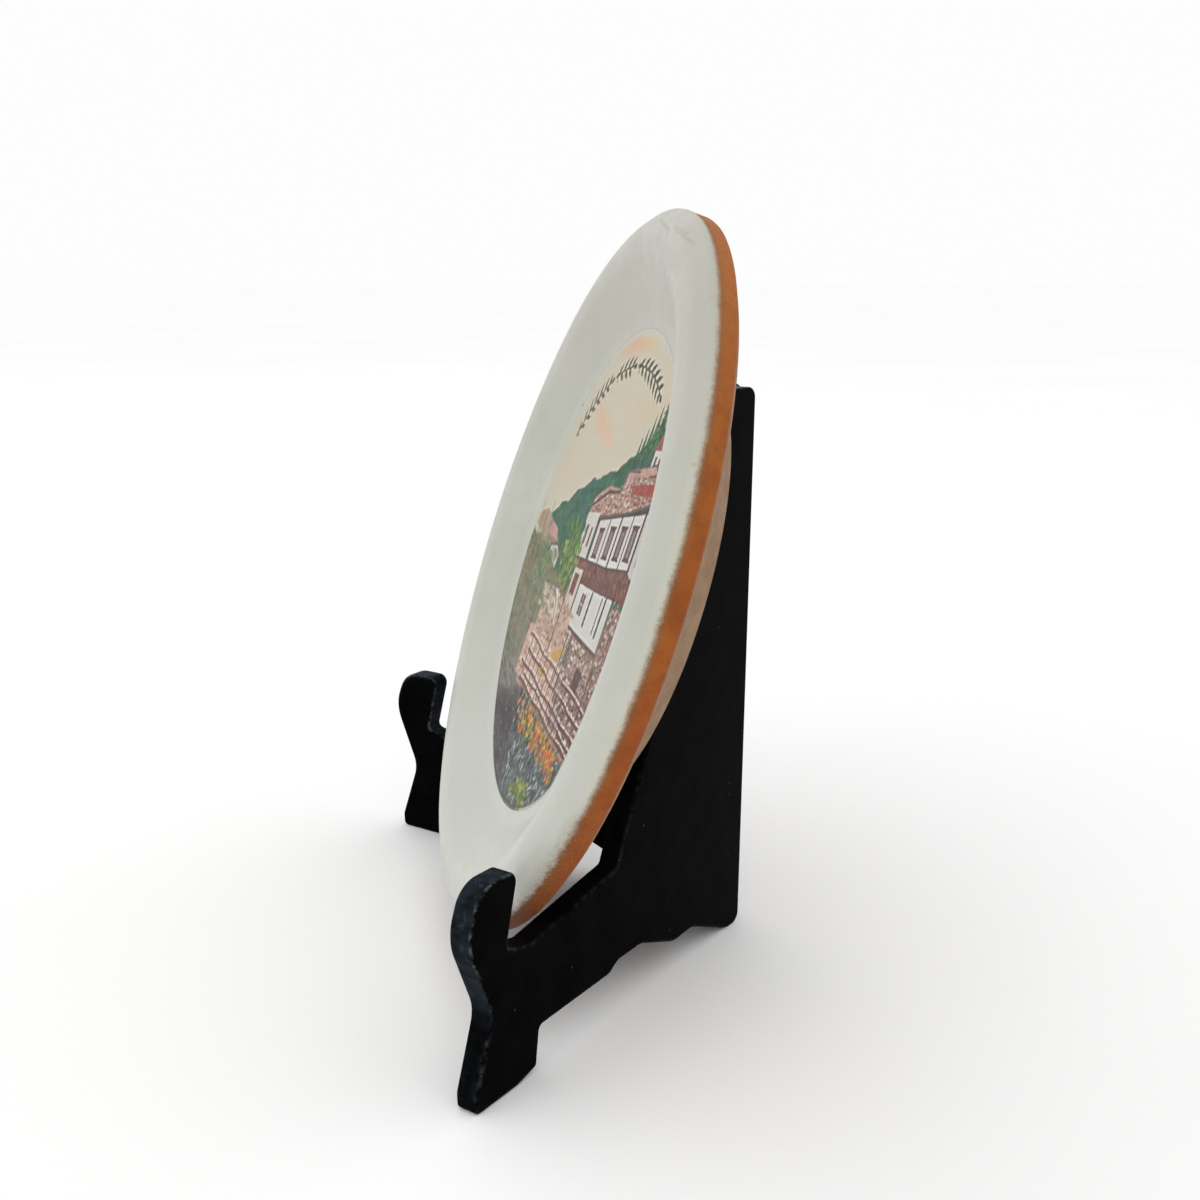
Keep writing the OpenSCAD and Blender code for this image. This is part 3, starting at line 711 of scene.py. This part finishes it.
    # garden in front
    garden = (y < -40.8) & (x > -13 - 0.45 * (y + 50))
    g = cloud(x, y, 5, 61)[..., None]
    tone = np.array([92, 100, 108]) * (1 - g) + np.array([122, 124, 124]) * g
    cv.lay((slice(None), slice(None)), garden * 0.95, tone)
    greens = [(60, 78, 88), (84, 96, 104), (132, 138, 140), (58, 84, 74), (70, 76, 100), (108, 122, 116), (150, 154, 150), (44, 58, 70)]
    for _ in range(1500):
        px, py = rng.uniform(-16, 58), rng.uniform(-68, -41)
        if px < -12 - 0.45 * (py + 50):
            continue
        ln, an = rng.uniform(0.8, 2.6), rng.uniform(0.5, 2.2)
        cv.line([(px, py), (px + ln * math.cos(an), py + ln * math.sin(an))], rng.uniform(0.35, 0.8), greens[rng.integers(8)], 0.35, rng.uniform(0.5, 0.95), True)
    for _ in range(260):
        px, py = rng.uniform(30, 58), rng.uniform(-56, -40)
        cv.line([(px, py), (px + rng.uniform(0.6, 2.2), py + rng.uniform(-0.4, 1.4))], 0.6, [(54, 84, 104), (80, 104, 118), (60, 88, 84), (132, 142, 138)][rng.integers(4)], 0.35, 0.8, True)
    for _ in range(420):
        px, py = rng.uniform(-14, 58), rng.uniform(-66, -42)
        if px < -11 - 0.45 * (py + 50):
            continue
        an, ln = rng.uniform(0.3, 2.6), rng.uniform(1.4, 3.4)
        mid = (px + ln * 0.5 * math.cos(an) + rng.uniform(-0.4, 0.4), py + ln * 0.5 * math.sin(an))
        col = [(166, 172, 172), (44, 58, 76), (186, 190, 186), (60, 82, 66), (128, 140, 112), (38, 50, 62)][rng.integers(6)]
        cv.line([(px, py), mid, (px + ln * math.cos(an), py + ln * math.sin(an))], rng.uniform(0.45, 0.95), col, 0.35, rng.uniform(0.55, 0.9))
    for _ in range(90):
        px, py = rng.uniform(-14, 4), rng.uniform(-50, -40.5)
        if px < -12 - 0.45 * (py + 50):
            continue
        cv.blob(px, py, rng.uniform(0.5, 1.4), rng.uniform(0.5, 1.2), rng.uniform(0, 2), [(52, 76, 72), (150, 160, 150), (206, 150, 96), (70, 92, 96), (196, 128, 84)][rng.integers(5)], 0.5, 0.8)
    for _ in range(170):
        px, py = rng.uniform(-2, 46), rng.uniform(-48.5, -41.2)
        col = [(204, 132, 66), (196, 96, 52), (210, 172, 88), (206, 120, 84), (150, 152, 76), (186, 162, 96)][rng.integers(6)]
        cv.blob(px, py, rng.uniform(0.6, 1.8), rng.uniform(0.4, 1.1), rng.uniform(0, 0.6), col, 0.6, rng.uniform(0.6, 0.95))
    for cx, cy in ((34, -43.8), (6, -43.4), (20, -42.6), (38, -44.6)):
        for _ in range(16):
            cv.blob(cx + rng.normal(0, 2.4), cy + rng.normal(0, 0.9), rng.uniform(0.6, 1.5), rng.uniform(0.5, 0.9), rng.uniform(0, 1),
                    [(208, 104, 52), (214, 140, 72), (222, 178, 92)][rng.integers(3)], 0.6, 0.9)
    for _ in range(150):
        px, py = rng.uniform(-1, 46), rng.uniform(-49.5, -41.5)
        an = rng.uniform(0.8, 2.3)
        cv.line([(px, py), (px + 1.8 * math.cos(an), py + 1.8 * math.sin(an))], 0.5, [(62, 84, 58), (120, 138, 72), (48, 62, 58)][rng.integers(3)], 0.3, 0.85, True)
    for _ in range(110):
        px, py = rng.normal(19, 4.6), rng.normal(-60.4, 1.8)
        cv.blob(px, py, rng.uniform(0.8, 2.2), rng.uniform(0.4, 0.9), rng.uniform(0, 0.7), [(138, 152, 62), (112, 132, 64), (96, 116, 70), (168, 170, 92)][rng.integers(4)], 0.6, 0.75)
    # three leafy sprigs over the sky
    def on_arc(s, off=0.0):
        ang = math.radians(148 - 87 * s)
        rad_ = 59.6 - 2.0 * math.sin(math.pi * s) + off
        return rad_ * math.cos(ang), rad_ * math.sin(ang), ang

    for s0, s1 in ((0.0, 0.34), (0.39, 0.58), (0.64, 1.0)):
        count = int(round((s1 - s0) * 42))
        for k in range(count + 1):
            s = s0 + (s1 - s0) * k / count
            cx, cy, ang = on_arc(s)
            tx, ty, nx_, ny_ = math.sin(ang), -math.cos(ang), math.cos(ang), math.sin(ang)
            fade = 0.66 + 0.30 * s
            ink = np.array([82, 76, 64]) * (1 - s) + np.array([42, 43, 42]) * s
            side = 1 if k % 2 else -1
            size = 1.0 - 0.45 * abs(2 * k / count - 1) ** 3
            if k in (0, count):
                side, size = 0, 0.8
            reach, rise = 3.9 * size, 3.4 * size * side
            px_, py_ = tx * reach + nx_ * rise, ty * reach + ny_ * rise
            ln = math.hypot(px_, py_)
            wx, wy = -py_ / ln * 0.86, px_ / ln * 0.86
            leaf = [(cx, cy), (cx + px_ * 0.35 + wx, cy + py_ * 0.35 + wy), (cx + px_ * 0.7 + wx * 0.7, cy + py_ * 0.7 + wy * 0.7),
                    (cx + px_, cy + py_), (cx + px_ * 0.7 - wx * 0.7, cy + py_ * 0.7 - wy * 0.7), (cx + px_ * 0.35 - wx, cy + py_ * 0.35 - wy)]
            cv.shape(leaf, ink, 0.3, fade)
            if side and k % 4 == 1:
                bx, by, _ = on_arc(s, -side * 1.7)
                cv.blob(bx, by, 0.5, 0.5, 0, ink, 0.4, fade)
        stem = [on_arc(s)[:2] for s in np.linspace(s0, s1, 16)]
        cv.line(stem, 0.55, (58, 54, 48), 0.3, 0.9)
    for s in (0.365, 0.61):
        bx, by, _ = on_arc(s)
        cv.blob(bx, by, 0.7, 0.7, 0, (62, 58, 52), 0.4, 0.8)
    # ink over the brick and timber, then the soft edge of the print
    radius = np.hypot(x, y)
    angle = np.degrees(np.arctan2(y, x)) % 360
    lower = np.clip((angle - 178) / 10, 0, 1) * np.clip((300 - angle) / 14, 0, 1)
    ring = np.clip(1 - np.abs(radius - 67.6) / 0.7, 0, 1) * lower
    cv.lay((slice(None), slice(None)), ring * 0.65, np.array([84, 84, 80]))
    upper = 1 - np.clip((angle - 172) / 8, 0, 1) * np.clip((352 - angle) / 10, 0, 1)
    fade_in = 0.9 + 3.0 * upper * np.clip((y + 10) / 30, 0, 1) * np.clip((34 - x) / 14, 0, 1)
    out = np.clip((radius - (68.3 - fade_in)) / fade_in, 0, 1)
    cv.lay((slice(None), slice(None)), out * out * (3 - 2 * out) * np.where(lower > 0.5, 0.25, 1.0), np.array([200, 200, 190]))
    return cv


def build_picture():
    """A disc of even cells, each corner carrying the painted colour under it."""
    n = 288
    a = np.linspace(-1, 1, n + 1)
    u, v = np.meshgrid(a, a)
    big = np.abs(u) > np.abs(v)
    safe_u, safe_v = np.where(np.abs(u) < 1e-9, 1e-9, u), np.where(np.abs(v) < 1e-9, 1e-9, v)
    r = np.where(big, u, v)
    phi = np.where(big, math.pi / 4 * v / safe_u, math.pi / 2 - math.pi / 4 * u / safe_v)
    x, y = (r * np.cos(phi) * picture_r).ravel(), (r * np.sin(phi) * picture_r).ravel()
    top = -well_h + 0.05
    co = np.stack([x, y, np.full(x.size, top)], 1)
    idx = np.arange((n + 1) * (n + 1)).reshape(n + 1, n + 1)
    quads = np.stack([idx[:-1, :-1], idx[:-1, 1:], idx[1:, 1:], idx[1:, :-1]], -1).reshape(-1, 4)
    rim_loop = np.concatenate([idx[0, :-1], idx[:-1, -1], idx[-1, :0:-1], idx[:0:-1, 0]])
    skirt = co[rim_loop].copy()
    skirt[:, 2] = -well_h
    co[rim_loop, 2] = top - 0.03
    base = len(co)
    co = np.vstack([co, skirt, [[0, 0, -well_h]]])
    m = len(rim_loop)
    faces = quads.tolist()
    for j in range(m):
        k = (j + 1) % m
        faces.append((int(rim_loop[k]), int(rim_loop[j]), base + j, base + k))
        faces.append((base + k, base + j, base + m))
    cv = paint_village(70.0)
    # crisper ink: lift each spot away from the average of its neighbourhood
    soft = cv.c
    for axis in (0, 1):
        soft = sum(np.roll(soft, k, axis) * math.exp(-(k / 3.4) ** 2) for k in range(-7, 8)) / sum(math.exp(-(k / 3.4) ** 2) for k in range(-7, 8))
    cv.c = np.clip(cv.c + 0.55 * (cv.c - soft), 0, 240)
    px, py = (co[:, 0] + 70.0) * 4.0 - 0.5, (co[:, 1] + 70.0) * 4.0 - 0.5
    size = cv.c.shape[0]
    ix, iy = np.clip(np.floor(px).astype(int), 0, size - 2), np.clip(np.floor(py).astype(int), 0, size - 2)
    fx, fy = np.clip(px - ix, 0, 1)[:, None], np.clip(py - iy, 0, 1)[:, None]
    c = ((cv.c[iy, ix] * (1 - fx) + cv.c[iy, ix + 1] * fx) * (1 - fy)
         + (cv.c[iy + 1, ix] * (1 - fx) + cv.c[iy + 1, ix + 1] * fx) * fy)
    c = np.clip(c / 255, 0, 1)
    dark = np.clip((0.80 - c.mean(1, keepdims=True)) / 0.35, 0, 1)
    c = np.clip((c - 0.80) * (1 + 0.22 * dark) + 0.80 - 0.008 * dark - 0.012, 0, 1)
    lin = np.where(c <= 0.04045, c / 12.92, ((c + 0.055) / 1.055) ** 2.4)
    rgba = np.concatenate([lin, np.ones((len(lin), 1))], 1)
    world = to_world(PLATE, co)
    return make_object("picture", world, faces, [("plate_mm", "FLOAT_VECTOR", co), ("paint", "FLOAT_COLOR", rgba)])


def picture_material():
    t = Tree("fired_print")
    p = t.attribute("plate_mm").outputs["Vector"]
    paint = t.attribute("paint").outputs["Color"]
    grain = t.noise(p, 2.4, 3, 0.6)
    patch = t.noise(p, 0.2, 3, 0.5)
    colour = t.mix(t.ramp(grain, 0.35, 0.7, 0.0, 0.10), paint, srgb(130, 120, 108))
    colour = t.mix(t.ramp(patch, 0.35, 0.7, 0.0, 0.05), colour, srgb(206, 204, 192))
    colour = t.mix(1.0, colour, (0.94, 0.94, 0.94), "MULTIPLY")
    t.put(t.shader.inputs["Base Color"], colour)
    t.put(t.shader.inputs["Roughness"], t.ramp(grain, 0.3, 0.7, 0.32, 0.44))
    t.shader.inputs["Specular IOR Level"].default_value = 0.07
    t.put(t.shader.inputs["Normal"], t.bump(t.math("ADD", t.math("MULTIPLY", t.noise(p, 0.11, 2, 0.45), 0.3), t.math("MULTIPLY", grain, 0.012)), 0.5, MM))
    return t.material


# ---- wings ------------------------------------------------------------
def build_wing(name, side):
    """A board with softly rounded arrises, cut to the CAD outline."""
    line = split_long(rounded(wing_outline, 5.0), 1.6, closed=True)
    pts = np.array(line)
    keep = [0]
    for i in range(1, len(pts)):
        if np.linalg.norm(pts[i] - pts[keep[-1]]) > 0.12:
            keep.append(i)
    pts = pts[keep]
    n = len(pts)
    prev_, next_ = np.roll(pts, 1, 0), np.roll(pts, -1, 0)
    d0 = (pts - prev_) / np.linalg.norm(pts - prev_, axis=1)[:, None]
    d1 = (next_ - pts) / np.linalg.norm(next_ - pts, axis=1)[:, None]
    area = 0.5 * np.sum(pts[:, 0] * next_[:, 1] - next_[:, 0] * pts[:, 1])
    sign = 1 if area > 0 else -1
    n0, n1 = np.stack([-d0[:, 1], d0[:, 0]], 1) * sign, np.stack([-d1[:, 1], d1[:, 0]], 1) * sign
    bis = n0 + n1
    bis /= np.linalg.norm(bis, axis=1)[:, None]
    mitre = 1 / np.clip((bis * n0).sum(1), 0.5, 1)
    rounding = 0.85
    rings = []          # (inset, depth from the face, edge weight for wear and painted sheen)
    steps = 5
    for face in (0, 1):
        one = [(rounding + 0.75, 0.0, 0.0), (rounding + 0.15, 0.0, 0.12)]
        one += [(rounding * (1 - math.sin(a)), rounding * (1 - math.cos(a)), math.sin(2 * a) ** 0.6 if 0 < a < math.pi / 2 else 0.25)
                for a in np.linspace(0, math.pi / 2, steps + 1)]
        rings += [(i, (d if face == 0 else wing_t - d), w) for i, d, w in (one if face == 0 else one[::-1])]
        if face == 0:
            rings += [(0.0, rounding + 0.8, 0.12), (0.0, wing_t / 2, 0.0), (0.0, wing_t - rounding - 0.8, 0.12)]
    # inset positions, kept from crossing where the outline turns tightly
    co, wear_and_sheen, flank = [], [], []
    for inset, depth, w in rings:
        q = pts + bis * (mitre * inset)[:, None]
        u, z = q[:, 0], q[:, 1]
        xl = fold_gap + depth
        local = np.stack([np.full(n, xl), -back_off - u, z], 1)
        co.append(local)
        wear_and_sheen.append(np.full(n, w))
        flank.append(np.full(n, 1.0 if inset < 0.3 * rounding else 0.0))
    co, wear_and_sheen, flank = np.concatenate(co), np.concatenate(wear_and_sheen), np.concatenate(flank)
    faces = []
    k = np.arange(n)
    k1 = (k + 1) % n
    for r in range(len(rings) - 1):
        a, b = r * n, (r + 1) * n
        faces += np.stack([a + k, b + k, b + k1, a + k1], 1).tolist()
    first, last = k.tolist(), ((len(rings) - 1) * n + k).tolist()
    faces.append(first)
    faces.append(last[::-1])
    ang = math.radians(open_angle / 2)
    m = Matrix(((math.cos(ang), -math.sin(ang), 0, 0), (math.sin(ang), math.cos(ang), 0, hinge_y), (0, 0, 1, 0), (0, 0, 0, 1)))
    world = to_world(m, co)
    if side < 0:
        world[:, 0] *= -1
    # right way out
    flip = (sign > 0) == (side > 0)
    if flip:
        faces = [f[::-1] for f in faces]
    grain = np.stack([co[:, 0] + (0 if side > 0 else 37.0), co[:, 1], co[:, 2]], 1)
    obj = make_object(name, world, faces, [("board_mm", "FLOAT_VECTOR", grain), ("wear_and_sheen", "FLOAT", wear_and_sheen), ("flank", "FLOAT", flank)])
    return obj


def lacquer_material():
    t = Tree("black_lacquer")
    p = t.attribute("board_mm").outputs["Vector"]
    wear_and_sheen = t.attribute("wear_and_sheen").outputs["Fac"]
    flank = t.attribute("flank").outputs["Fac"]
    fine = t.noise(p, 1.6, 4, 0.65)
    patch = t.noise(p, 0.12, 3, 0.55)
    broad = t.noise(p, 0.035, 2, 0.5)
    streak = t.noise(t.stretch(p, (1.6, 1.6, 0.05)), 1.0, 3, 0.6)
    across = t.noise(t.stretch(p, (0.10, 0.55, 0.55)), 1.0, 3, 0.55)
    black = t.mix(t.ramp(patch, 0.3, 0.7), srgb(3, 3, 3), srgb(7, 7, 8))
    black = t.mix(t.ramp(streak, 0.55, 0.8, 0.0, 0.10), black, srgb(14, 15, 18))
    # painted reflection: the side walls, most of all on the hook, get a mottled bluish-grey tint standing in for the
    # bright surroundings they reflect
    place = t.node("ShaderNodeSeparateXYZ", {"Vector": p})
    hook = t.math("MULTIPLY", t.ramp(place.outputs["Y"], -107.0, -113.0), t.ramp(place.outputs["Z"], 17.0, 30.0))
    where = t.math("MULTIPLY_ADD", hook, 0.93, 0.07)
    mottle = t.math("ADD", t.math("MULTIPLY", across, 0.35), t.math("ADD", t.math("MULTIPLY", t.noise(p, 0.16, 3, 0.6), 0.6), t.math("MULTIPLY", broad, 0.2)))
    painted_reflection = t.math("MULTIPLY", t.math("MULTIPLY", flank, where), t.ramp(mottle, 0.44, 0.72, 0.3, 1.0))
    black = t.mix(t.math("MULTIPLY", painted_reflection, 0.9), black, srgb(36, 43, 50))
    # rubbed corners with a painted sheen along the arrises: long faint lighter lines, broken here and there
    rubbed = t.math("MULTIPLY", wear_and_sheen, t.ramp(t.math("ADD", t.math("MULTIPLY", broad, 0.6), t.math("MULTIPLY", t.noise(p, 0.45, 3, 0.6), 0.5)), 0.52, 0.70))
    near_hook = t.ramp(place.outputs["Y"], -104.0, -110.0, 0.3, 1.0)
    black = t.mix(t.math("MULTIPLY", t.math("MULTIPLY", rubbed, near_hook), 0.42), black, srgb(78, 84, 92))
    bare = t.math("MULTIPLY", t.math("MULTIPLY", t.ramp(wear_and_sheen, 0.6, 1.0), t.ramp(broad, 0.5, 0.6)), t.ramp(t.noise(p, 1.1, 3, 0.7), 0.60, 0.68))
    black = t.mix(t.math("MULTIPLY", t.math("MULTIPLY", bare, near_hook), 0.6), black, srgb(112, 110, 108))
    # a scuffed line down the outer corner of the hook, partly a painted highlight on the arris, and a paler patch
    # beside it on the side wall that is a painted highlight
    high = t.math("MULTIPLY", hook, t.ramp(place.outputs["Z"], 33.0, 38.0))
    scuff_and_highlight = t.math("MULTIPLY", t.math("MULTIPLY", high, t.ramp(wear_and_sheen, 0.55, 0.9)), t.ramp(t.noise(p, 0.5, 3, 0.6), 0.42, 0.58))
    black = t.mix(t.math("MULTIPLY", scuff_and_highlight, 0.4), black, srgb(100, 106, 108))
    pale = t.math("MULTIPLY", t.math("MULTIPLY", high, flank), t.ramp(t.noise(p, 0.35, 4, 0.7), 0.54, 0.68))
    black = t.mix(t.math("MULTIPLY", pale, 0.35), black, srgb(66, 76, 82))
    dist, rnd = t.spots(p, 0.22)
    picked = t.math("GREATER_THAN", t.node("ShaderNodeSeparateColor", {"Color": rnd}).outputs[1], 0.86)
    dust = t.math("MULTIPLY", t.ramp(dist, 0.03, 0.09, 1.0, 0.0), picked)
    black = t.mix(t.math("MULTIPLY", dust, 0.22), black, srgb(110, 112, 116))
    t.put(t.shader.inputs["Base Color"], black)
    t.put(t.shader.inputs["Roughness"], t.math("ADD", t.ramp(patch, 0.3, 0.7, 0.25, 0.31), t.math("MULTIPLY", rubbed, 0.15)))
    t.shader.inputs["Specular IOR Level"].default_value = 0.006
    t.shader.inputs["Coat Weight"].default_value = 0.0
    height = t.math("ADD", t.math("MULTIPLY", across, 0.05), t.math("MULTIPLY", fine, 0.010))
    height = t.math("ADD", height, t.math("MULTIPLY", t.math("ADD", bare, dust), 0.02))
    height = t.math("ADD", height, t.math("MULTIPLY", patch, 0.22))
    t.put(t.shader.inputs["Normal"], t.bump(height, 0.4, MM))
    return t.material


# ---- hinges -----------------------------------------------------------
def brass_material(name, light, dark, tarnish, rough):
    t = Tree(name)
    p = t.millimetres()
    fine = t.noise(p, 3.0, 4, 0.6)
    patch = t.noise(p, 0.35, 4, 0.6)
    drawn = t.noise(t.stretch(p, (4.0, 4.0, 0.25)), 1.0, 2, 0.5)
    colour = t.mix(t.ramp(fine, 0.3, 0.7), dark, light)
    spots = t.ramp(t.math("MULTIPLY", patch, t.math("ADD", fine, 0.5)), 0.5, 0.72)
    colour = t.mix(t.math("MULTIPLY", spots, 0.7), colour, tarnish)
    t.put(t.shader.inputs["Base Color"], colour)
    t.shader.inputs["Metallic"].default_value = 1.0
    t.put(t.shader.inputs["Roughness"], t.math("ADD", t.ramp(patch, 0.3, 0.7, rough, rough + 0.14), t.math("MULTIPLY", spots, 0.2)))
    height = t.math("ADD", t.math("MULTIPLY", drawn, 0.02), t.math("MULTIPLY", fine, 0.012))
    t.put(t.shader.inputs["Normal"], t.bump(height, 0.4, MM))
    return t.material


# ---- put it together --------------------------------------------------
plate = build_plate()
plate.data.materials.append(plate_material())
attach(plate, "plate")
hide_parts("plate_body")

picture = build_picture()
picture.data.materials.append(picture_material())
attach(picture, "plate")
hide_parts("picture_disc")

lacquer = lacquer_material()
for side, node, body in ((1, "right_wing", "right_frame"), (-1, "left_wing", "left_frame")):
    board = build_wing(node.replace("wing", "board"), side)
    board.data.materials.append(lacquer)
    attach(board, body)
    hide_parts(node)

hinge_brass = brass_material("hinge_brass", srgb(206, 170, 98), srgb(176, 138, 70), srgb(96, 72, 40), 0.26)
screw_brass = brass_material("screw_brass", srgb(212, 178, 108), srgb(184, 146, 80), srgb(88, 66, 40), 0.22)
for name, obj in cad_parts.items():
    if "leaf" in name or "pin" in name:
        material = screw_brass if "screws" in name else hinge_brass
        obj.data.materials.clear()
        obj.data.materials.append(material)
        bevel = obj.modifiers.new("soft_edges", "BEVEL")
        bevel.width = 0.06 * MM if "screws" in name else 0.10 * MM
        bevel.segments = 2
        bevel.limit_method = "ANGLE"
        bevel.angle_limit = math.radians(40)

# ---- floor and light --------------------------------------------------
def floor_material():
    t = Tree("studio_floor")
    p = t.millimetres()
    t.put(t.shader.inputs["Base Color"], t.mix(t.ramp(t.noise(p, 0.004, 2, 0.5), 0.3, 0.7), srgb(253, 253, 253), srgb(255, 255, 255)))
    t.put(t.shader.inputs["Roughness"], t.ramp(t.noise(p, 0.01, 2, 0.5), 0.3, 0.7, 0.85, 0.92))
    t.shader.inputs["Specular IOR Level"].default_value = 0.1
    return t.material


span = 14.0
floor_co = np.array([(-span, -span, 0), (span, -span, 0), (span, span, 0), (-span, span, 0)], float)
floor = make_object("floor", floor_co, [(0, 1, 2, 3)], smooth=False)
floor.data.materials.append(floor_material())

world = bpy.data.worlds.new("studio")
world.use_nodes = True
world.node_tree.nodes["Background"].inputs["Color"].default_value = (1.0, 1.0, 1.0, 1.0)
world.node_tree.nodes["Background"].inputs["Strength"].default_value = 0.985
bpy.context.scene.world = world


def area_light(name, position, target, size, power, colour=(1, 1, 1)):
    data = bpy.data.lights.new(name, "AREA")
    data.shape = "SQUARE"
    data.size = size
    data.energy = power
    data.color = colour
    obj = bpy.data.objects.new(name, data)
    obj.location = position
    obj.rotation_euler = (Vector(target) - Vector(position)).to_track_quat("-Z", "Y").to_euler()
    bpy.context.scene.collection.objects.link(obj)
    return obj


area_light("key", (0.9, -1.3, 1.5), (0, 0, 0.1), 1.3, 3.2)
area_light("fill", (-1.4, -0.6, 1.2), (0, 0, 0.1), 1.4, 1.6)

bpy.context.view_layer.update()
